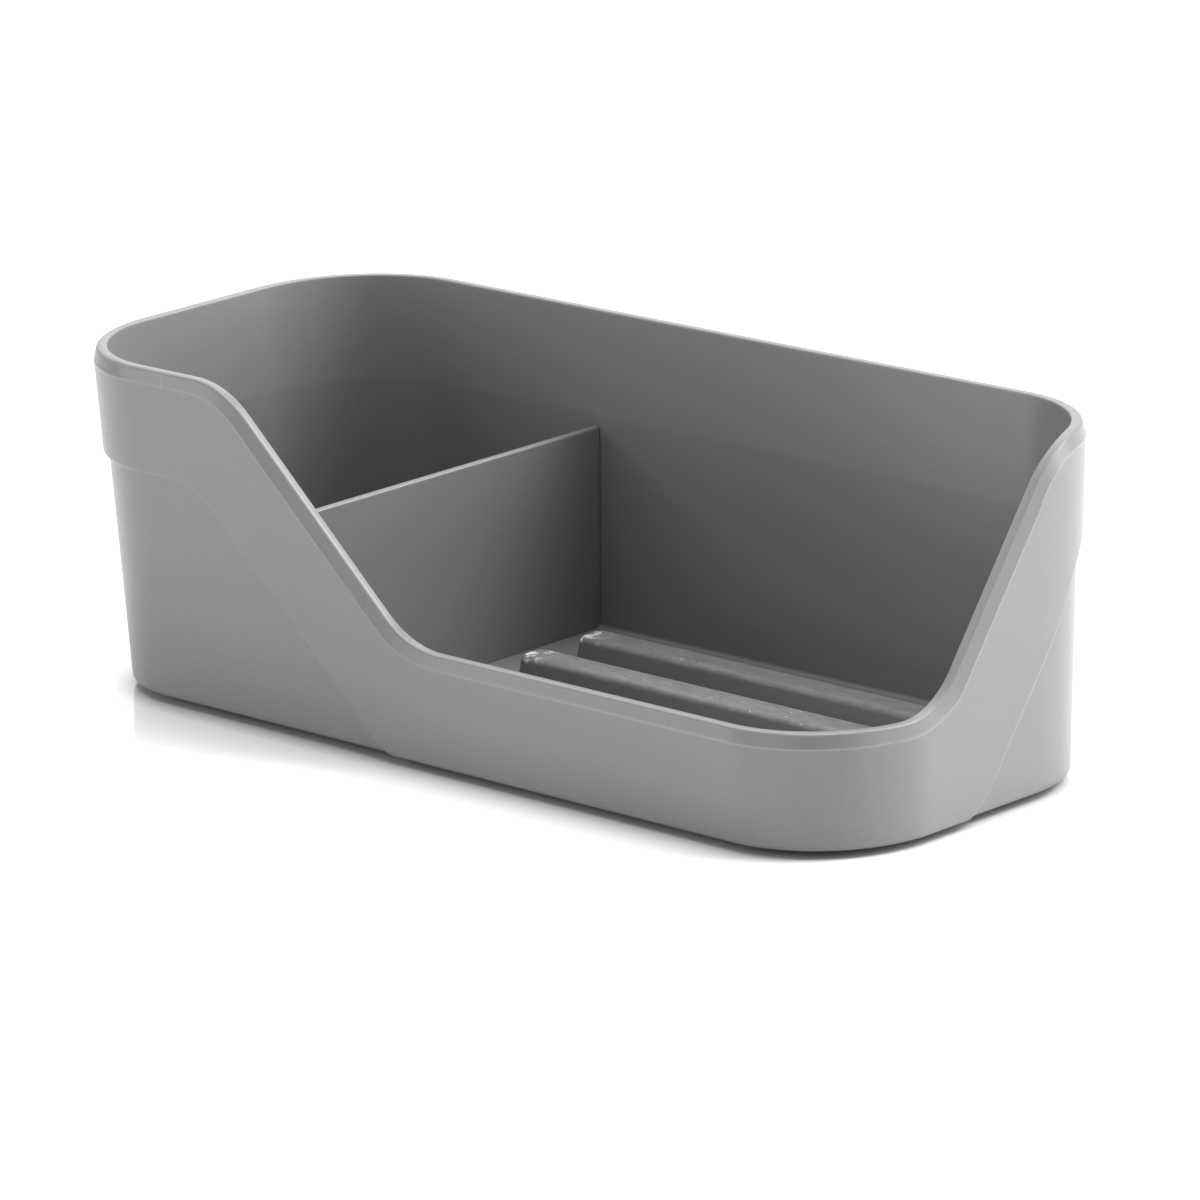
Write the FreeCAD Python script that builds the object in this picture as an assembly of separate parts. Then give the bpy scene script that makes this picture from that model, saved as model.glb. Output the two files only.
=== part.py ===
# Sink caddy: a deep tub with a low front corner, a lift-out divider and four foot pads.
# X runs left to right, Y front to back, Z up; the origin is on the counter, under the middle.
import FreeCAD, Part
import math
import os

# Overall size of the tub, at its rim
length = 260.0
width = 110.0
tub_height = 83.2
foot_proud = 1.8
corner_radius = 36.0
draft_share = 0.0488

# Walls and floor
wall = 2.2
band_step = 1.36
floor_top = 4.0
floor_thickness = 2.2
bottom_round = 1.0
floor_round = 1.0
base_ring = 3.0

# Rim: a narrow sloped strip under the top edge, and softened edges
bevel_inset = 1.0
bevel_drop = 3.4
rim_outer_round = 1.2
rim_inner_round = 0.4

# Line of the rim: it drops at an angle on the front wall and on the right-hand wall. The middle of
# each drop is measured from the tall left end and from the tall back.
low_rim = 27.8
front_angle = 44.5
front_curve_radius = 24.0
front_rim_from_left = 93.5
end_angle = 55.4
end_curve_radius = 20.0
end_rim_from_back = 51.6

# Lower edge of the raised band, which follows the rim
band_height = 56.8
band_run_out = 2.0
front_band_from_left = 83.7
end_band_from_back = 38.4

# Lift-out divider
divider_thickness = 2.0
divider_from_left = 86.8
divider_top = 54.3
groove_depth = 0.6
groove_run_out = 10.0
divider_clearance = 0.25
divider_round = 0.6

# Ribs that hold things off the wet floor
rib_count = 4
rib_pitch = 20.1
rib_width = 8.3
rib_lean = 0.2
rib_height = 5.1
rib_from_divider = 12.8
rib_from_right = 25.0
rib_corner = 3.0
rib_round = 1.8
rib_skin = 2.0

# Foot pads
pad_diameter = 11.0
pad_clearance = 0.2
pad_bevel = 0.5
pad_ring_wall = 1.2
pad_ring_height = 1.4
pad_past_corner = 2.0

# How far cutting shapes run past the thing that they cut, and how close counts as the same place
spare = 20.0
same_place = 0.0001

# Heights above the counter
base_z = foot_proud
rim_z = base_z + tub_height
floor_z = base_z + floor_top
under_z = floor_z - floor_thickness
band_z = base_z + band_height
corner_x = length / 2 - corner_radius
corner_y = width / 2 - corner_radius

# Places along and across the tub
front_rim_middle = front_rim_from_left - length / 2
end_rim_middle = width / 2 - end_rim_from_back
front_band_middle = front_band_from_left - length / 2
end_band_middle = width / 2 - end_band_from_back
divider_middle = divider_from_left - length / 2
rib_left = divider_middle + divider_thickness / 2 + rib_from_divider
rib_right = length / 2 - rib_from_right
rib_z = floor_z + rib_height
pad_x = corner_x + pad_past_corner
pad_y = rib_pitch


def rounded_wire(half_x, half_y, radius, z):
    cx = half_x - radius
    cy = half_y - radius
    diagonal = radius * math.sqrt(0.5)
    edges = []
    for sx, sy in ((1, 1), (-1, 1), (-1, -1), (1, -1)):
        on_x = FreeCAD.Vector(sx * half_x, sy * cy, z)
        on_y = FreeCAD.Vector(sx * cx, sy * half_y, z)
        middle = FreeCAD.Vector(sx * (cx + diagonal), sy * (cy + diagonal), z)
        first, last = (on_x, on_y) if sx == sy else (on_y, on_x)
        if edges:
            edges.append(Part.makeLine(edges[-1].lastVertex().Point, first))
        edges.append(Part.Arc(first, middle, last).toShape())
    edges.append(Part.makeLine(edges[-1].lastVertex().Point, edges[0].firstVertex().Point))
    return Part.Wire(edges)


# A tub-shaped block that leans out as it rises, set in from the band's outer face
def drafted_block(inset, z_low, z_high):
    wires = []
    for z in (z_low, z_high):
        radius = corner_radius - draft_share * (rim_z - z) - inset
        wires.append(rounded_wire(corner_x + radius, corner_y + radius, radius, z))
    return Part.makeLoft(wires, True, True)


# The edges of a shape that lie flat at a height
def edges_at(shape, z):
    boxes = [(edge, edge.BoundBox) for edge in shape.Edges]
    return [edge for edge, box in boxes if max(abs(box.ZMin - z), abs(box.ZMax - z)) < same_place]


# Everything above a line that drops from high to low at an angle with two round bends.
# place() turns distance along the wall and height into a point; depth is the way across the tub.
def above_line(place, depth, high, low, middle, angle, radius):
    lean = math.radians(angle)
    half = (high - low) / 2
    tangent = radius * math.tan(lean / 2)
    reach = length / 2 + spare
    top = rim_z + spare
    t_high = middle - half / math.tan(lean)
    t_low = middle + half / math.tan(lean)
    bend_t = radius * math.sin(lean / 2)
    bend_z = radius * math.cos(lean / 2)
    start_high = place(t_high - tangent, high)
    bend_high = place(t_high - tangent + bend_t, high - radius + bend_z)
    end_high = place(t_high + tangent * math.cos(lean), high - tangent * math.sin(lean))
    start_low = place(t_low - tangent * math.cos(lean), low + tangent * math.sin(lean))
    bend_low = place(t_low + tangent - bend_t, low + radius - bend_z)
    end_low = place(t_low + tangent, low)
    edges = [
        Part.makeLine(place(-reach, high), start_high),
        Part.Arc(start_high, bend_high, end_high).toShape(),
        Part.makeLine(end_high, start_low),
        Part.Arc(start_low, bend_low, end_low).toShape(),
        Part.makeLine(end_low, place(reach, low)),
        Part.makeLine(place(reach, low), place(reach, top)),
        Part.makeLine(place(reach, top), place(-reach, top)),
        Part.makeLine(place(-reach, top), place(-reach, high)),
    ]
    return Part.Face(Part.Wire(edges)).extrude(depth)


def on_front(t, z):
    return FreeCAD.Vector(t, -width / 2 - spare, z)


def on_end(t, z):
    return FreeCAD.Vector(-length / 2 - spare, -t, z)


# The space above both lines: the front one rules the front wall, the end one the right-hand wall
def above_both(high, low, front_middle, end_middle):
    across = FreeCAD.Vector(0, width + 2 * spare, 0)
    along = FreeCAD.Vector(length + 2 * spare, 0, 0)
    front = above_line(on_front, across, high, low, front_middle, front_angle, front_curve_radius)
    end = above_line(on_end, along, high, low, -end_middle, end_angle, end_curve_radius)
    return front.common(end)


# The long straight edges along the back of the rim's flat top, the inner one first
def back_edges(shape):
    boxes = [(edge, edge.BoundBox) for edge in edges_at(shape, rim_z)]
    long = [edge for edge, box in boxes if box.XLength > corner_x and box.YMin > corner_y]
    return sorted(long, key=lambda edge: edge.BoundBox.YMin)


# A bar with a rib's outline, set in from it; the outline grows by the lean below the rib's top
def rib_bar(z_low, z_high, inset, lean):
    wires = []
    for z in (z_low, z_high):
        grow = lean * (rib_z - z) - inset
        half_x = (rib_right - rib_left) / 2 + grow
        wires.append(rounded_wire(half_x, rib_width / 2 + grow, rib_corner + grow, z))
    return Part.makeLoft(wires, True, True)


# A plate across the tub, given as half widths and heights from the bottom up
def cross_plate(outline, thickness):
    left = divider_middle - thickness / 2
    back = [FreeCAD.Vector(left, half, z) for half, z in outline]
    front = [FreeCAD.Vector(left, -half, z) for half, z in reversed(outline)]
    corners = back + front
    plate = Part.Face(Part.makePolygon(corners + corners[:1]))
    return plate.extrude(FreeCAD.Vector(thickness, 0, 0))


# Half width of the tub's inside at a height
def inside_half(z):
    return width / 2 - draft_share * (rim_z - z) - band_step - wall


# Outside of the tub: the band's block is cut to the rim line and bevelled, and below the band's
# lower edge its skin comes off down to the lower wall
band_block = drafted_block(0.0, base_z, rim_z + spare)
band_block = band_block.makeFillet(bottom_round, edges_at(band_block, base_z))
scoop = above_both(rim_z, base_z + low_rim, front_rim_middle, end_rim_middle)
outside = band_block.cut(scoop).removeSplitter()
back_edge = max(edges_at(outside, rim_z), key=lambda edge: edge.BoundBox.YMin)
first_face = outside.ancestorsOfType(back_edge, Part.Face)[0]
sizes = (bevel_drop, bevel_inset)
if first_face.BoundBox.ZLength < bevel_inset:
    sizes = (bevel_inset, bevel_drop)
outside = outside.makeChamfer(sizes[0], sizes[1], [back_edge])
lower_block = drafted_block(band_step, base_z, rim_z + spare)
lower_block = lower_block.makeFillet(bottom_round, edges_at(lower_block, base_z))
band_space = above_both(band_z, base_z - band_run_out, front_band_middle, end_band_middle)
skin = drafted_block(-spare, base_z - spare, rim_z + spare).cut(lower_block).cut(band_space)
outside = outside.cut(skin)

# Inside of the tub, with a rounded floor edge
inside = drafted_block(band_step + wall, floor_z, rim_z + spare)
inside = inside.makeFillet(floor_round, edges_at(inside, floor_z))
tub = outside.cut(inside)

# Softened rim: one edge of each loop is enough, as the round follows its loop
tub = tub.makeFillet(rim_inner_round, back_edges(tub)[:1])
tub = tub.makeFillet(rim_outer_round, back_edges(tub)[-1:])

# Ribs on the floor of the long compartment, hollow underneath
rib_middle = (rib_left + rib_right) / 2
underside_radius = corner_radius - draft_share * tub_height - band_step - bottom_round - base_ring
underside_x = corner_x + underside_radius
underside_y = corner_y + underside_radius
underside = Part.Face(rounded_wire(underside_x, underside_y, underside_radius, 0.0))
tub = tub.cut(underside.extrude(FreeCAD.Vector(0, 0, under_z)))
for index in range(rib_count):
    rib_y = (index - (rib_count - 1) / 2) * rib_pitch
    place = FreeCAD.Vector(rib_middle, rib_y, 0)
    rib = rib_bar(under_z, rib_z, 0.0, rib_lean)
    rib = rib.makeFillet(rib_round, edges_at(rib, rib_z))
    hollow = rib_bar(under_z, rib_z - rib_skin, rib_skin, 0.0)
    tub = tub.fuse(rib.translated(place)).cut(hollow.translated(place))

# Guide groove for the divider: it follows the walls, and runs out at the divider's top
divider_z = base_z + divider_top
groove_low = floor_z - groove_depth
groove_high = divider_z - groove_run_out
groove_line = [
    (inside_half(groove_low) + groove_depth, groove_low),
    (inside_half(groove_high) + groove_depth, groove_high),
    (inside_half(divider_z), divider_z),
]
tub = tub.cut(cross_plate(groove_line, divider_thickness + 2 * divider_clearance))

# Divider, a plate that drops into the groove
plate_low = groove_low + divider_clearance
plate_edge = groove_depth - divider_clearance
plate_line = [
    (inside_half(plate_low) + plate_edge, plate_low),
    (inside_half(groove_high) + plate_edge, groove_high),
    (inside_half(divider_z) - divider_clearance, divider_z),
]
divider = cross_plate(plate_line, divider_thickness)
top_edges = [edge for edge in edges_at(divider, divider_z) if edge.Length > width / 2]
divider = divider.makeFillet(divider_round, top_edges)

# Foot pads, each in a ring under the floor
pads = []
pad_radius = pad_diameter / 2
ring_inside = pad_radius + pad_clearance
ring_length = pad_ring_height + floor_thickness / 2
for sx in (-1, 1):
    for sy in (-1, 1):
        foot = FreeCAD.Vector(sx * pad_x, sy * pad_y, 0)
        ring_low = foot + FreeCAD.Vector(0, 0, under_z - pad_ring_height)
        ring = Part.makeCylinder(ring_inside + pad_ring_wall, ring_length, ring_low)
        ring = ring.cut(Part.makeCylinder(ring_inside, pad_ring_height, ring_low))
        tub = tub.fuse(ring)
        pad = Part.makeCylinder(pad_radius, under_z, foot)
        pads.append(pad.makeChamfer(pad_bevel, edges_at(pad, 0.0)))

os.makedirs("parts", exist_ok=True)
nodes = {"tub": tub.removeSplitter(), "divider": divider}
for pad, name in zip(pads, ("left_front", "left_back", "right_front", "right_back")):
    nodes["foot_pad_" + name] = pad
for name, shape in nodes.items():
    shape.Solids[0].exportStep(os.path.join("parts", name + ".step"))
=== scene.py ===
import bmesh
import bpy
import numpy as np
from mathutils import Matrix, Vector


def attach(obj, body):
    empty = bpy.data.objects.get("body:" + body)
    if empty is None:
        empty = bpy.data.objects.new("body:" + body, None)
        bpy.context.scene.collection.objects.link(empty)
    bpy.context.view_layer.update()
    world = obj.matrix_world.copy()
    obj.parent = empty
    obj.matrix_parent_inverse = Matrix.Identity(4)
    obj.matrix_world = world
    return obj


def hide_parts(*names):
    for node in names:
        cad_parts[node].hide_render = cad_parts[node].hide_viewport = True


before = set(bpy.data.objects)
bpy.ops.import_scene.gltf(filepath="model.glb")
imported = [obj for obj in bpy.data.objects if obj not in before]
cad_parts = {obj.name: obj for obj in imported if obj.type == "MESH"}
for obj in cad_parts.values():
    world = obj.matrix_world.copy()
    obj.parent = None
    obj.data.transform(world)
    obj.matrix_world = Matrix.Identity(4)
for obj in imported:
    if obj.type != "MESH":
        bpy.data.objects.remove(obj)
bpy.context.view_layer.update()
print("frame loaded:", ", ".join(sorted(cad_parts)))


class Wire:
    # wraps an output socket, so that 1 - mask * 0.5 adds the Math nodes it needs
    def __init__(self, tree, out):
        self.tree = tree
        self.out = out

    def node(self, kind, settings, links, pick=0):
        # any node: its type, its settings, then the values or links of its sockets
        made = self.tree.nodes.new("ShaderNode" + kind)
        for key, value in settings.items():
            setattr(made, key, value)
        for key, value in links.items():
            if isinstance(value, Wire):
                self.tree.links.new(value.out, made.inputs[key])
            else:
                made.inputs[key].default_value = value
        return Wire(self.tree, made.outputs[pick])

    def math(self, operation, first, second):
        return self.node("Math", {"operation": operation}, {0: first, 1: second})

    def __add__(self, other):
        return self.math("ADD", self, other)

    def __radd__(self, other):
        return self.math("ADD", other, self)

    def __sub__(self, other):
        return self.math("SUBTRACT", self, other)

    def __rsub__(self, other):
        return self.math("SUBTRACT", other, self)

    def __mul__(self, other):
        return self.math("MULTIPLY", self, other)

    def __rmul__(self, other):
        return self.math("MULTIPLY", other, self)

    def vector(self, operation, other=(0, 0, 0), pick=0):
        return self.node("VectorMath", {"operation": operation}, {0: self, 1: other}, pick)

    def noise(self, scale, detail):
        # 3D noise at this place, in cycles per metre, about 0.5 on average
        return self.node("TexNoise", {}, {"Vector": self, "Scale": scale, "Detail": detail})

    def rise(self, low, high):
        # 0 below low, 1 above high, smooth between
        settings = {"interpolation_type": "SMOOTHSTEP"}
        return self.node("MapRange", settings, {"Value": self, "From Min": low, "From Max": high})

    def blend(self, first, second):
        # a colour between two, by this factor
        return self.node("Mix", {"data_type": "RGBA"}, {0: self, 6: first, 7: second}, 2)

    def attribute(self, name):
        return self.node("Attribute", {"attribute_name": name}, {}, "Fac")

    def axis(self, name):
        return self.node("SeparateXYZ", {}, {"Vector": self}, name)

    def feed(self, shader, socket):
        self.tree.links.new(self.out, shader.inputs[socket])


def newFinish(name):
    # an empty material, its shader, and Object coordinates in metres
    finish = bpy.data.materials.new(name)
    finish.use_nodes = True
    tree = finish.node_tree
    place = Wire(tree, tree.nodes.new("ShaderNodeTexCoord").outputs["Object"])
    return finish, tree.nodes["Principled BSDF"], place


def grey(tone, cool=1.005):
    # a neutral grey, a trace cool
    return (tone, tone, tone * cool, 1.0)


def addObject(name, data):
    made = bpy.data.objects.new(name, data)
    bpy.context.scene.collection.objects.link(made)
    return made


def dress(piece, finish):
    piece.data.materials.clear()
    piece.data.materials.append(finish)


# what all the meshes share
meshing = {
    "unit": 0.001,                        # points are in mm
    "merge": 0.000002,                    # points this close become one, m
    "levelGap": 0.05,                     # how far an open edge may lie from its level, mm
    "guard": 0.2,                         # rows set in from the ends of an upright wall, mm
    "sideShares": (0.02, 0.98, 40),       # columns along a straight side: from, to, count
}


def quarter(steps):
    return np.linspace(0, np.pi / 2, steps)


def bell(offset, width):
    return np.exp(-((offset / width) ** 2))


def ringPath(corner, longSide, shortSide, arcSteps):
    # a rounded rectangle, anticlockwise: point = centre + radius * normal. Each corner turns a quarter
    # about its own centre, then the centre slides along the side. Sides are shares, 0 to 1.
    turn = quarter(arcSteps)
    spots = np.array([(1, 1), (-1, 1), (-1, -1), (1, -1), (1, 1)]) * corner
    sides = (1 - longSide[::-1], 1 - shortSide[::-1], longSide, shortSide)
    centres = []
    angles = []
    for k, side in enumerate(sides):
        centres.append(np.repeat(spots[k : k + 1], arcSteps, 0))
        centres.append(spots[k] + side[:, None] * (spots[k + 1] - spots[k]))
        angles.append(k * np.pi / 2 + turn)
        angles.append(np.full(len(side), (k + 1) * np.pi / 2))
    angle = np.concatenate(angles)
    return np.concatenate(centres), np.stack([np.cos(angle), np.sin(angle)], 1)


def ringPoints(path, radius, z):
    # rows of points round a path; a radius or a height may be one for a whole row
    centre, normal = path
    x = centre[:, 0] + radius * normal[:, 0]
    y = centre[:, 1] + radius * normal[:, 1]
    return np.stack(np.broadcast_arrays(x, y, z), -1)


def ringFaces(rows, start):
    # quads between neighbouring rows and columns, closed round the ring
    count, columns = rows.shape[:2]
    here = start + np.arange(count * columns).reshape(count, columns)
    ahead = np.roll(here, -1, axis=1)
    return np.stack([here[:-1], here[1:], ahead[1:], ahead[:-1]], -1).reshape(-1, 4).tolist()


def capFace(rows, start, closeFirst):
    # one face over the first row, or over the last one, which is then taken the other way round
    count, columns = rows.shape[:2]
    if closeFirst:
        return list(range(start, start + columns))
    end = start + count * columns
    return list(range(end - columns, end))[::-1]


def guarded(low, high):
    return np.array([low, low + meshing["guard"], high - meshing["guard"], high])[:, None]


def makePiece(name, points, faces, marks):
    mesh = bpy.data.meshes.new(name)
    mesh.from_pydata(points * meshing["unit"], [], faces)
    for key, values in marks.items():
        mesh.attributes.new(key, "FLOAT", "POINT").data.foreach_set("value", values.astype(np.float32))
    return addObject(name, mesh)


def closePiece(piece, levels, sharpAngle):
    # merges points, fills the flat gap at each level, facing up (1) or down (-1), and shades smooth
    work = bmesh.new()
    work.from_mesh(piece.data)
    bmesh.ops.remove_doubles(work, verts=work.verts, dist=meshing["merge"])
    for level, side in levels:
        gap = [edge for edge in work.edges if edge.is_boundary]
        gap = [e for e in gap if abs(e.verts[0].co.z / meshing["unit"] - level) < meshing["levelGap"]]
        bmesh.ops.triangle_fill(work, use_beauty=True, edges=gap, normal=(0, 0, side))
    work.to_mesh(piece.data)
    work.free()
    piece.data.shade_smooth()
    piece.data.set_sharp_from_angle(angle=np.radians(sharpAngle))


# tub shell, mm. A guard is a row beside a round that keeps its shading off the flat.
tub = {
    "corner": (94.0, 19.0),               # corner centres
    "cornerRadius": 36.0,
    "draft": 0.0488,                      # lean of the walls
    "rimZ": 85.0,
    "lowRimZ": 29.6,
    "frontRim": (-36.5, 44.5, 24.0),      # middle of the drop, its angle, radius of its bends
    "endRim": (-3.4, 55.4, 20.0),
    "bandZ": 58.6,
    "bandLowZ": -0.2,
    "frontBand": (-46.3, 44.5, 24.0),
    "endBand": (-16.6, 55.4, 20.0),
    "bandStep": 1.36,
    "bandRound": 1.0,                     # band's lower edge
    "ledge": 0.06,
    "rootRound": 0.3,
    "wallInset": 3.56,                    # inner face, set in from the band's face
    "bevelInset": 1.0,
    "bevelDrop": 3.4,
    "outerRound": 1.2,
    "endRound": 0.5,                      # crisper on the right-hand end
    "innerRound": 0.4,
    "partingRidge": (0.05, 0.15),         # height, width
    "baseZ": 1.8,
    "floorZ": 5.8,
    "underZ": 3.6,
    "floorRound": 1.0,
    "bottomRound": 1.0,
    "recessRadius": 26.58,
    "groove": (-43.2, 1.25, 0.6, 46.1, 56.1),   # middle, half width, depth, fades from and to
    "sharpAngle": 35,
    # columns: from, to, count, then places beside an edge
    "frontColumns": (-93, 93, 110),
    "runOutColumns": (-30, 2, 60),
    "endColumns": (-18.5, 18.5, 56),
    "cornerSteps": 32,
    "grooveBeside": (-0.03, 0.03),
    "splitBeside": (-0.5, -0.25, -0.1, 0.0, 0.1, 0.25, 0.5),
    # rows
    "floorSteps": 6,
    "floorGuard": 0.3,
    "wallShares": (0.004, 0.08, 0.2, 0.35, 0.5, 0.6, 0.7, 0.8, 0.9, 0.97, 0.995),
    "innerSteps": 6,
    "outerSteps": 9,
    "rimGuard": 0.15,
    "creaseBeside": (-2.4, -1.6, -0.8, -0.35, -0.2, -0.1, 0.0, 0.1, 0.2, 0.35, 0.6),
    "bandShares": (0.04, 0.2, 0.4, 0.6, 0.8, 0.96),
    "bandSteps": 10,
    "rootSteps": 5,
    "stepGuard": 0.3,
    "lowShares": (0.04, 0.25, 0.5, 0.75, 0.96),
    "bottomSteps": 10,
    # marks for the finish
    "creaseHighlight": (0.1, 0.28),            # place below the crease, width
    "bandHighlight": (-0.3, 0.45),             # place past the band's line, width
    "bandHighlightOnEnd": 2.0,                 # painted highlight strength on the right-hand end, 1 elsewhere
    "splitMarks": ((-84.3, 1.0), (76.8, -0.5)),   # mould split lines across the bevel: x, strength
    "splitWidth": 0.16,
    "splitFrom": 0.5,                     # their top, under the rim
    "lipRows": (4, 5, 9),                 # rows inside the rim, outside it, and outside on the slope
    "lipHighlightOnSlope": 2.0,                    # added on the right-hand slope
    "fullSlope": 0.5,                     # a slope counts in full where 1 / cos is this much over 1
}
settleRounds = 4                          # a height line settles on the leaning wall in this many rounds


def dropLine(t, high, low, middle, angle, radius):
    # height of a line that falls from high to low at an angle, with a round bend at each end
    lean = np.radians(angle)
    reach = (high - low) / 2 / np.tan(lean) + radius * np.tan(lean / 2)
    arc = radius * np.sin(lean)           # how far each bend reaches along t
    bendHigh = high - radius + np.sqrt(radius**2 - np.clip(t - middle + reach, 0, arc) ** 2)
    bendLow = low + radius - np.sqrt(radius**2 - np.clip(middle + reach - t, 0, arc) ** 2)
    straight = (high + low) / 2 - (t - middle) * np.tan(lean)
    line = np.where(t < middle - reach + arc, bendHigh, straight)
    return np.where(t > middle + reach - arc, bendLow, line)


def rimHeight(x, y):
    # the front line rules the front wall, the end line the right-hand wall
    front = dropLine(x, tub["rimZ"], tub["lowRimZ"], *tub["frontRim"])
    return np.maximum(front, dropLine(-y, tub["rimZ"], tub["lowRimZ"], *tub["endRim"]))


def bandHeight(x, y):
    front = dropLine(x, tub["bandZ"], tub["bandLowZ"], *tub["frontBand"])
    return np.maximum(front, dropLine(-y, tub["bandZ"], tub["bandLowZ"], *tub["endBand"]))


# columns round the tub: closer where the band runs out, at the groove and at the split marks
cornerX, cornerY = tub["corner"]
grooveX, grooveHalf, grooveDepth, grooveFrom, grooveTo = tub["groove"]
grooveEdges = grooveX + np.array([[-grooveHalf], [grooveHalf]])
splitX, splitStrength = np.array(tub["splitMarks"]).T[..., None]
frontX = np.concatenate([
    np.linspace(*tub["frontColumns"]),
    np.linspace(*tub["runOutColumns"]),
    (grooveEdges + tub["grooveBeside"]).ravel(),
    (splitX + tub["splitBeside"]).ravel(),
])
frontX = np.unique(np.round(frontX, 2))
endY = np.linspace(*tub["endColumns"])
frontShare = (frontX + cornerX) / (2 * cornerX)
endShare = (endY + cornerY) / (2 * cornerY)
path = ringPath(tub["corner"], frontShare, endShare, tub["cornerSteps"])
centre, normal = path
onEnd = np.clip(normal[:, 0], 0, 1) ** 2


def radiusAt(z, inset):
    return tub["cornerRadius"] - tub["draft"] * (tub["rimZ"] - z) - inset


def lineRound(height):
    # a height line carried round the leaning wall, and 1 / cos of its slope along the wall
    z = np.full(len(centre), tub["rimZ"])
    for _ in range(settleRounds):
        spot = ringPoints(path, radiusAt(z, 0), z)
        z = height(spot[:, 0], spot[:, 1])
    ahead = np.roll(spot, -1, 0) - np.roll(spot, 1, 0)
    climb = (np.roll(z, -1) - np.roll(z, 1)) / np.hypot(ahead[:, 0], ahead[:, 1])
    return z, np.sqrt(1 + climb**2)


rimZ, rimSteep = lineRound(rimHeight)
bandZ, bandSteep = lineRound(bandHeight)


def rimRows(inset, drop):
    # rows set in from the band's face, at a depth under the rim that is measured square to its line
    fall = drop * rimSteep
    z = rimZ - fall
    for _ in range(settleRounds):
        spot = ringPoints(path, radiusAt(z, inset), z)
        z = rimHeight(spot[..., 0], spot[..., 1]) - fall
    return ringPoints(path, radiusAt(z, inset), z)


# inside: floor edge, wall with the divider's groove, inner round of the rim
floorTurn = quarter(tub["floorSteps"])[:, None]
footZ = tub["floorZ"] + tub["floorRound"]
footRadius = radiusAt(footZ, tub["wallInset"]) - tub["floorRound"]
floorEdge = ringPoints(path, footRadius - tub["floorGuard"], tub["floorZ"])[None]
foot = ringPoints(path, footRadius + tub["floorRound"] * np.sin(floorTurn),
                  footZ - tub["floorRound"] * np.cos(floorTurn))
innerTurn = quarter(tub["innerSteps"])[:, None]
innerInset = tub["wallInset"] - tub["innerRound"] * (1 - np.cos(innerTurn))
innerRim = rimRows(innerInset, tub["innerRound"] * (1 - np.sin(innerTurn)))
wallZ = footZ + np.array(tub["wallShares"])[:, None] * (innerRim[0, :, 2] - footZ)
inGroove = np.abs(centre[:, 0] - grooveX) < grooveHalf
grooveShare = inGroove * np.clip((grooveTo - wallZ) / (grooveTo - grooveFrom), 0, 1)
innerWall = ringPoints(path, radiusAt(wallZ, tub["wallInset"] - grooveDepth * grooveShare), wallZ)

# rim: outer round, bevel, and a faint parting ridge on its lower crease
lean = np.arctan2(tub["bevelInset"], tub["bevelDrop"])
outerTurn = np.linspace(0, np.pi / 2 - lean, tub["outerSteps"])
edgeRound = tub["outerRound"] + (tub["endRound"] - tub["outerRound"]) * onEnd
roundInset = tub["bevelInset"] + edgeRound * (np.tan(outerTurn[-1] / 2) - np.sin(outerTurn))[:, None]
roundDrop = edgeRound * (1 - np.cos(outerTurn))[:, None]
pastCrease = np.repeat(np.array(tub["creaseBeside"])[:, None], len(centre), 1)
ridgeHeight, ridgeWidth = tub["partingRidge"]
bevelInset = np.maximum(-pastCrease, 0) * np.tan(lean) - ridgeHeight * bell(pastCrease, ridgeWidth)
outerInset = np.concatenate([roundInset[:1] + tub["rimGuard"], roundInset, bevelInset])
outerDrop = np.concatenate([roundDrop[:1], roundDrop, tub["bevelDrop"] + pastCrease])
outerRim = rimRows(outerInset, outerDrop)

# outside: the band's face, its lower edge, the lower wall and the round bottom edge. A path runs straight
# down the wall and then round the bottom edge; the step sits where the band's line crosses it.
bottomZ = tub["baseZ"] + tub["bottomRound"]
straightRun = tub["rimZ"] - bottomZ
pathEnd = straightRun + tub["bottomRound"] * np.pi / 2
bandTurn = np.arcsin(np.clip((bottomZ - bandZ) / tub["bottomRound"], 0, 1))
stepAt = tub["rimZ"] - np.maximum(bandZ, bottomZ) + tub["bottomRound"] * bandTurn
stepAt = stepAt + np.maximum(tub["baseZ"] - bandZ, 0)
lipTurn = quarter(tub["bandSteps"])
rootTurn = quarter(tub["rootSteps"])[1:]
lipAlong = tub["bandRound"] * (np.sin(lipTurn) - 1)
rootAlong = tub["ledge"] + tub["rootRound"] * (1 - np.cos(rootTurn))
lipInset = tub["bandRound"] * (1 - np.cos(lipTurn))
rootInset = tub["bandStep"] - tub["rootRound"] * (1 - np.sin(rootTurn))
guard = tub["stepGuard"]
stepAlong = np.concatenate([lipAlong[:1] - guard, lipAlong, rootAlong, rootAlong[-1:] + guard])
stepInset = np.concatenate([lipInset[:1], lipInset, rootInset, rootInset[-1:]])
bandStart = tub["rimZ"] - outerRim[-1, :, 2]
stepStart = stepAt + stepAlong[0] * bandSteep
stepEnd = np.minimum(stepAt + stepAlong[-1] * bandSteep, pathEnd)
bandFoot = np.minimum(stepStart, straightRun)
lowFoot = np.maximum(stepEnd, straightRun)
roundRun = np.linspace(straightRun, pathEnd, tub["bottomSteps"])[:, None]
bandRun = bandStart + np.array(tub["bandShares"])[:, None] * (bandFoot - bandStart)
bandEdge = np.minimum(np.maximum(roundRun, bandFoot), stepStart)
stepRun = stepAt + stepAlong[:, None] * bandSteep
lowRun = stepEnd + np.array(tub["lowShares"])[:, None] * (lowFoot - stepEnd)
lowEdge = np.maximum(roundRun, stepEnd)
run = np.minimum(np.concatenate([bandRun, bandEdge, stepRun, lowRun, lowEdge]), pathEnd)
edgeTurn = np.clip((run - straightRun) / tub["bottomRound"], 0, np.pi / 2)
outZ = tub["rimZ"] - np.minimum(run, straightRun) - tub["bottomRound"] * np.sin(edgeTurn)
stepPlace = (run - stepAt) / bandSteep
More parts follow.
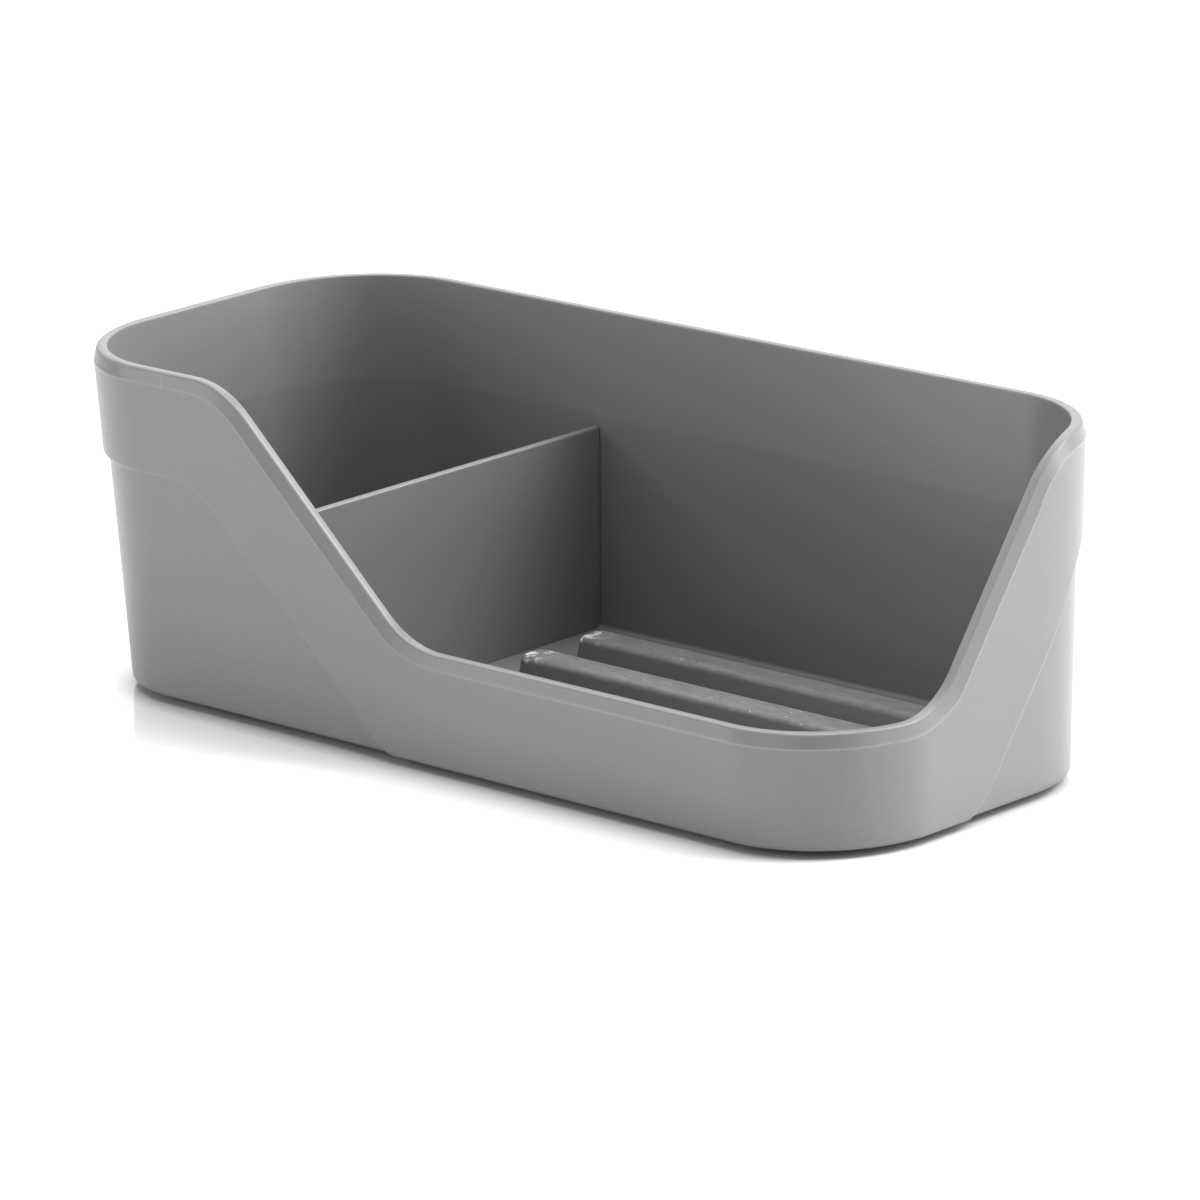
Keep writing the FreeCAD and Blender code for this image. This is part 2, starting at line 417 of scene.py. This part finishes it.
outRadius = radiusAt(outZ, np.interp(stepPlace, stepAlong, stepInset))
outRadius = outRadius - tub["bottomRound"] * (1 - np.cos(edgeTurn))
outWall = ringPoints(path, outRadius, outZ)

# underside: base ring and recess
recess = ringPoints(path, tub["recessRadius"], guarded(tub["baseZ"], tub["underZ"]))
shell = np.concatenate([floorEdge, foot, innerWall, innerRim, outerRim, outWall, recess])
rimStart = len(floorEdge) + len(foot) + len(innerWall) + len(innerRim)
wallStart = rimStart + len(outerRim)
wallEnd = wallStart + len(outWall)

# marks for the finish: painted highlight lines on the crease and the band's edge, split lines, the rim's lip
# with its painted highlight, the inside
edgeHighlight, splitLine, rimHighlight, inside = np.zeros((4, *shell.shape[:2]))
creaseAt, creaseWidth = tub["creaseHighlight"]
edgeHighlight[rimStart:wallStart] = bell(outerDrop - tub["bevelDrop"] - creaseAt, creaseWidth)
bandAt, bandWidth = tub["bandHighlight"]
bandStrength = 1 + (tub["bandHighlightOnEnd"] - 1) * onEnd
edgeHighlight[wallStart:wallEnd] = bell(stepPlace - bandAt, bandWidth) * bandStrength
splitColumns = (splitStrength * bell(centre[:, 0] - splitX, tub["splitWidth"])).sum(0)
splitColumns = splitColumns * np.isclose(normal[:, 1], -1)
onStrip = (outerDrop > tub["splitFrom"]) & (outerDrop < tub["bevelDrop"])
splitLine[rimStart:wallStart] = splitColumns * onStrip
lipInside, lipOutside, lipSlope = tub["lipRows"]
onSlope = onEnd * np.clip((rimSteep - 1) / tub["fullSlope"], 0, 1)
# painted highlight on the rim's top, stronger on the right-hand slope
rimHighlight[rimStart - lipInside : rimStart + lipOutside] = 1.0
rimHighlight[rimStart - lipInside : rimStart + lipSlope] += tub["lipHighlightOnSlope"] * onSlope
inside[:rimStart] = 1.0

# ribs: a rounded bar whose outline shrinks as it rises, with a round top edge, and a slot under it.
# Bar rows run down to the floor and slot rows up from the underside, so that all faces look out.
ribs = {
    "left": -29.4,                        # outline at the top
    "right": 105.0,
    "pitch": 20.1,
    "count": 4,
    "width": 8.3,
    "lean": 0.2,
    "topZ": 10.9,
    "corner": 3.0,
    "round": 1.8,
    "skin": 2.0,
    "cornerSteps": 9,
    "roundSteps": 9,
    "topGuard": 0.2,
    "sideRows": (0.2, 1.0),               # below the round
}
ribMiddle = (ribs["left"] + ribs["right"]) / 2
ribCorner = ((ribs["right"] - ribs["left"]) / 2 - ribs["corner"], ribs["width"] / 2 - ribs["corner"])
sideShares = np.linspace(*meshing["sideShares"])
middleShare = np.array([0.5])
ribPath = ringPath(ribCorner, sideShares, middleShare, ribs["cornerSteps"])
ribTurn = np.linspace(0, np.pi / 2 - np.arctan(ribs["lean"]), ribs["roundSteps"])
topGrow = ribs["round"] * (np.sin(ribTurn) - np.tan(ribTurn[-1] / 2))
topDrop = ribs["round"] * (1 - np.cos(ribTurn))
sideDrop = np.append(topDrop[-1] + np.array(ribs["sideRows"]), ribs["topZ"] - tub["floorZ"])
barGrow = np.concatenate([topGrow[:1] - ribs["topGuard"], topGrow, ribs["lean"] * sideDrop])[:, None]
barDrop = np.concatenate([topDrop[:1], topDrop, sideDrop])[:, None]
barRows = ringPoints(ribPath, ribs["corner"] + barGrow, ribs["topZ"] - barDrop)
slotZ = guarded(tub["underZ"], ribs["topZ"] - ribs["skin"])
slotRows = ringPoints(ribPath, ribs["corner"] - ribs["skin"], slotZ)

# the divider's groove across the floor, which stops short of the floor's round edge
floorGroove = {
    "corner": 0.2,
    "cornerSteps": 4,
    "endGap": 0.6,
}
grooveSide = np.array([grooveHalf, cornerY + footRadius - floorGroove["endGap"]]) - floorGroove["corner"]
groovePath = ringPath(grooveSide, middleShare, sideShares, floorGroove["cornerSteps"])
grooveZ = tub["floorZ"] - np.array([[grooveDepth], [0.0]])
grooveRows = ringPoints(groovePath, floorGroove["corner"], grooveZ)

# each form joined to the shell: rows, place, whether the first row is the closed one, onRib and inside marks
forms = [(grooveRows, (grooveX, 0, 0), True, 0.0, 1.0)]
for k in range(ribs["count"]):
    place = (ribMiddle, (k - (ribs["count"] - 1) / 2) * ribs["pitch"], 0)
    forms.append((barRows, place, True, 1.0, 1.0))
    forms.append((slotRows, place, False, 0.0, 0.0))
points = [shell.reshape(-1, 3)]
faces = ringFaces(shell, 0)
start = len(points[0])
onRib = [np.zeros(start)]
inside = [inside.ravel()]
for rows, place, closeFirst, ribMark, insideMark in forms:
    faces.extend(ringFaces(rows, start))
    faces.append(capFace(rows, start, closeFirst))
    points.append((rows + place).reshape(-1, 3))
    onRib.append(np.full(len(points[-1]), ribMark))
    inside.append(np.full(len(points[-1]), insideMark))
    start = start + len(points[-1])
beyondShell = np.zeros(start - edgeHighlight.size)
marks = {
    "edgeHighlight": np.append(edgeHighlight, beyondShell),
    "splitLine": np.append(splitLine, beyondShell),
    "rimHighlight": np.append(rimHighlight, beyondShell),
    "inside": np.concatenate(inside),
    "onRib": np.concatenate(onRib),
}
tubShell = makePiece("tubShell", np.concatenate(points), faces, marks)
closePiece(tubShell, ((tub["floorZ"], 1), (tub["underZ"], -1)), tub["sharpAngle"])
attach(tubShell, "tub")
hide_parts("tub")
print("tub shell:", len(tubShell.data.polygons), "faces")

# rings round the foot pads, under the floor: a square profile with soft edges turned about the pad, mm
padRings = {
    "places": ((-96.0, -20.1), (-96.0, 20.1), (96.0, -20.1), (96.0, 20.1)),
    "inner": 5.7,
    "outer": 6.9,
    "low": 2.2,
    "soft": 0.2,
    "sunk": 0.4,                          # into the floor
    "steps": 48,
    "sharpAngle": 30,
}
ringAngle = np.linspace(0, 2 * np.pi, padRings["steps"], endpoint=False)
circle = (np.zeros((padRings["steps"], 2)), np.stack([np.cos(ringAngle), np.sin(ringAngle)], 1))
softInner = padRings["inner"] + padRings["soft"]
softOuter = padRings["outer"] - padRings["soft"]
softZ = padRings["low"] + padRings["soft"]
sunkZ = tub["underZ"] + padRings["sunk"]
profile = np.array([
    (padRings["outer"], sunkZ),
    (padRings["outer"], softZ),
    (softOuter, padRings["low"]),
    (softInner, padRings["low"]),
    (padRings["inner"], softZ),
    (padRings["inner"], sunkZ),
    (padRings["outer"], sunkZ),
])
ringRows = ringPoints(circle, profile[:, :1], profile[:, 1:])
points = []
faces = []
for k, place in enumerate(padRings["places"]):
    faces.extend(ringFaces(ringRows, k * ringRows[..., 0].size))
    points.append((ringRows + (*place, 0)).reshape(-1, 3))
footRings = makePiece("footRings", np.concatenate(points), faces, {})
closePiece(footRings, (), padRings["sharpAngle"])
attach(footRings, "tub")
print("foot rings:", len(footRings.data.polygons), "faces")

# a noise is cycles per metre and detail, a rise is where it starts and ends; places are in metres
plastic = {
    "tone": 0.15,
    "mottle": 0.05,                       # share of the tone, as are the speckle and the rubbed marks
    "mottleNoise": (14.0, 3.0),
    "speckle": 0.16,
    "speckleNoise": (1100.0, 3.0),
    # painted highlight lines on the crease and the band's edge
    "edgeHighlightLift": 0.30,
    "edgeNoise": (120.0, 3.0),
    "edgeRise": (0.2, 0.5),
    "edgeLeft": 0.6,                      # share of it at the left
    "edgeAlong": (-0.03, 0.08),
    "splitRub": 0.35,
    "rimHighlightLift": 0.10,                       # painted highlight: the rim's top is painted a little paler
    "ribTopHighlight": 0.12,                       # painted highlight: the tops of the ribs are painted paler too
    "ribTop": (0.0090, 0.0102),
    "ribStreaks": 0.9,                    # fine scratches along them
    "streakStretch": (0.4, 1, 1),
    "streakNoise": (600.0, 4.0),
    "lineRise": (0.0580, 0.0592),         # painted shading: a faint line inside, level with the band, painted paler above
    "lineShadeLift": 0.10,
    "scuffTone": 0.75,
    "scratches": 0.9,                     # round the ribs' left ends
    "scratchNoise": (520.0, 4.0),
    "scratchRise": (0.50, 0.58),
    "scratchFade": (-0.0290, -0.0200),
    "specks": 0.6,                        # in patches along the ribs
    "speckNoise": (900.0, 2.0),
    "speckRise": (0.68, 0.74),
    "patchNoise": (60.0, 2.0),
    "patchRise": (0.48, 0.58),
    "roughness": 0.36,
    "roughnessSpread": 0.08,
    "roughnessNoise": (90.0, 4.0),
    "frosting": 0.22,                     # added roughness on the ribs and the floor
    "frostingFade": (0.0110, 0.0118),
    "grainNoise": (2400.0, 2.0),
    "grainStrength": 0.35,
    "grainDepth": 0.000015,
}


def mouldedPlastic(name):
    # marks that a piece doesn't have count as 0
    finish, shader, place = newFinish(name)
    x = place.axis("X")
    z = place.axis("Z")
    inside = place.attribute("inside")
    onTop = place.attribute("onRib") * z.rise(*plastic["ribTop"])
    # mask of the painted edge highlights: fainter at the left, broken up by noise
    edgeHighlightMask = plastic["edgeLeft"] + (1 - plastic["edgeLeft"]) * x.rise(*plastic["edgeAlong"])
    edgeHighlightMask = place.noise(*plastic["edgeNoise"]).rise(*plastic["edgeRise"]) * edgeHighlightMask
    stretched = place.vector("MULTIPLY", plastic["streakStretch"])
    streaks = plastic["ribStreaks"] * (stretched.noise(*plastic["streakNoise"]) - 0.5)
    shade = plastic["mottle"] * (place.noise(*plastic["mottleNoise"]) - 0.5)
    shade = shade + plastic["speckle"] * (place.noise(*plastic["speckleNoise"]) - 0.5)
    # painted highlight: pale lines on the crease and the band's edge
    shade = shade + place.attribute("edgeHighlight") * edgeHighlightMask * plastic["edgeHighlightLift"]
    shade = shade + place.attribute("splitLine") * plastic["splitRub"]
    # painted highlight on the rim's top
    shade = shade + place.attribute("rimHighlight") * plastic["rimHighlightLift"]
    # painted highlight on the ribs' tops, with fine scratches along them
    shade = shade + onTop * (plastic["ribTopHighlight"] + streaks)
    # painted shading: the inside walls are painted paler above the band's level
    shade = shade + inside * z.rise(*plastic["lineRise"]) * plastic["lineShadeLift"]
    # a shade of 0 is the tone itself, and half above or below is half the tone more or less
    colour = (shade + 0.5).blend(grey(plastic["tone"] * 0.5), grey(plastic["tone"] * 1.5))
    scratches = place.noise(*plastic["scratchNoise"]).rise(*plastic["scratchRise"])
    scratches = scratches * (1 - x.rise(*plastic["scratchFade"])) * plastic["scratches"]
    specks = place.noise(*plastic["speckNoise"]).rise(*plastic["speckRise"])
    specks = specks * place.noise(*plastic["patchNoise"]).rise(*plastic["patchRise"]) * plastic["specks"]
    scuff = (scratches + specks) * onTop
    colour = scuff.blend(colour, grey(plastic["scuffTone"]))
    colour.feed(shader, "Base Color")
    spread = plastic["roughnessSpread"] * (place.noise(*plastic["roughnessNoise"]) - 0.5)
    frosting = inside * (1 - z.rise(*plastic["frostingFade"])) * plastic["frosting"]
    rough = plastic["roughness"] + spread + frosting
    rough.feed(shader, "Roughness")
    grain = {
        "Height": place.noise(*plastic["grainNoise"]),
        "Strength": plastic["grainStrength"],
        "Distance": plastic["grainDepth"],
    }
    place.node("Bump", {}, grain).feed(shader, "Normal")
    return finish


caddyPlastic = mouldedPlastic("caddyPlastic")
dress(tubShell, caddyPlastic)
dress(footRings, caddyPlastic)
dress(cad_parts["divider"], mouldedPlastic("dividerPlastic"))

rubber = {
    "tone": 0.035,
    "speckle": 0.5,                       # share of the tone
    "speckleNoise": (1600.0, 3.0),
    "roughness": 0.75,
    "bumpStrength": 0.4,
    "bumpDepth": 0.00005,
}
padRubber, padShader, padPlace = newFinish("padRubber")
padSpeckle = padPlace.noise(*rubber["speckleNoise"])
paleRubber = grey(rubber["tone"] * (1 + rubber["speckle"]))
darkRubber = grey(rubber["tone"] * (1 - rubber["speckle"]))
padSpeckle.blend(darkRubber, paleRubber).feed(padShader, "Base Color")
padShader.inputs["Roughness"].default_value = rubber["roughness"]
padBump = {"Height": padSpeckle, "Strength": rubber["bumpStrength"], "Distance": rubber["bumpDepth"]}
padPlace.node("Bump", {}, padBump).feed(padShader, "Normal")
for name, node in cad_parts.items():
    if name.startswith("foot_pad"):
        dress(node, padRubber)
print("finishes done")

# studio, m
stage = {
    "floorSize": 40.0,
    "floorTone": 0.95,
    "contactShadowTone": 0.55,                    # painted contact shadow, close under the tub
    "contactShadowReach": (0.028, 0.037),          # from the tub's corner centres
    "floorRoughness": 0.05,
    "roomLight": 0.25,
}
half = stage["floorSize"] / 2
floorMesh = bpy.data.meshes.new("studioFloor")
corners = [(-half, -half, 0), (half, -half, 0), (half, half, 0), (-half, half, 0)]
floorMesh.from_pydata(corners, [], [(0, 1, 2, 3)])
studioFloor = addObject("studioFloor", floorMesh)
floorShadowPaint, floorShader, floorPlace = newFinish("floorShadowPaint")
tubCorner = (cornerX * meshing["unit"], cornerY * meshing["unit"], 0)
# painted contact shadow: the floor is darker close round the tub's base, fading out within reach
away = floorPlace.vector("ABSOLUTE").vector("SUBTRACT", tubCorner).vector("MAXIMUM")
away = away.vector("LENGTH", pick="Value")
floorColour = away.rise(*stage["contactShadowReach"]).blend(grey(stage["contactShadowTone"]), grey(stage["floorTone"]))
floorColour.feed(floorShader, "Base Color")
floorShader.inputs["Roughness"].default_value = stage["floorRoughness"]
dress(studioFloor, floorShadowPaint)

# the room is white to the camera and dimmer as a light
world = bpy.data.worlds.new("studioWorld")
bpy.context.scene.world = world
world.use_nodes = True
room = world.node_tree
seen = Wire(room, room.nodes.new("ShaderNodeLightPath").outputs["Is Camera Ray"])
roomStrength = stage["roomLight"] + seen * (1 - stage["roomLight"])
roomStrength.feed(room.nodes["Background"], "Strength")
room.nodes["Background"].inputs["Color"].default_value = (1, 1, 1, 1)

# softboxes round the part: bearing from +X, height angle, distance, size, power in W
lamps = {
    "keyHigh": (45, 50, 2.2, 1.2, 62.4),
    "keyLow": (45, 17, 2.2, 1.2, 33.2),
    "overhead": (0, 90, 2.2, 1.2, 31.4),
    "backHigh": (135, 50, 2.2, 1.2, 8.7),
    "backdrop": (135, 20, 2.4, 2.4, 21.0),
    "frontFill": (225, 17, 2.2, 1.2, 16.5),
    "frontLow": (270, 17, 2.2, 1.2, 8.2),
    "rearLow": (90, 17, 2.2, 1.2, 4.4),
    "leftHigh": (180, 50, 2.2, 1.2, 4.9),
    "leftLow": (180, 17, 2.2, 1.2, 3.9),
    "rightLow": (0, 17, 2.2, 1.2, 9.4),
}
lampAim = Vector((0, 0, 0.04))
for name, (bearing, height, distance, size, power) in lamps.items():
    light = bpy.data.lights.new(name, "AREA")
    light.size = size
    light.energy = power
    lamp = addObject(name, light)
    bearing, height = np.radians([bearing, height])
    outward = (np.cos(height) * np.cos(bearing), np.cos(height) * np.sin(bearing), np.sin(height))
    lamp.location = Vector(outward) * distance
    lamp.rotation_euler = (lampAim - lamp.location).to_track_quat("-Z", "Y").to_euler()

# camera at the photograph's angle: a long lens from the front right, a little above
camera = {
    "azimuth": 44.70,
    "elevation": 15.92,
    "roll": -2.22,
    "distance": 1.8723,
    "aim": (0.0, 0.0, 0.0508),
    "sideways": -0.0044,
    "upwards": 0.0191,
    "lens": 238.3,
    "sensor": 36.0,
    "clipEnd": 100.0,
}
az, el, roll = np.radians([camera["azimuth"], camera["elevation"], camera["roll"]])
back = Vector((np.sin(az) * np.cos(el), -np.cos(az) * np.cos(el), np.sin(el)))
right = Vector((np.cos(az), np.sin(az), 0))
up = back.cross(right)
sideAxis = right * np.cos(roll) + up * np.sin(roll)
upAxis = up * np.cos(roll) - right * np.sin(roll)
spot = Vector(camera["aim"]) + back * camera["distance"]
spot = spot - sideAxis * camera["sideways"] - upAxis * camera["upwards"]
turn = Matrix((sideAxis, upAxis, back)).transposed().to_4x4()
lensData = bpy.data.cameras.new("photoCamera")
lensData.lens = camera["lens"]
lensData.sensor_width = camera["sensor"]
lensData.clip_end = camera["clipEnd"]
photoCamera = addObject("photoCamera", lensData)
photoCamera.matrix_world = Matrix.Translation(spot) @ turn
bpy.context.scene.camera = photoCamera
bpy.context.scene.view_settings.view_transform = "Standard"
print("studio and camera set")
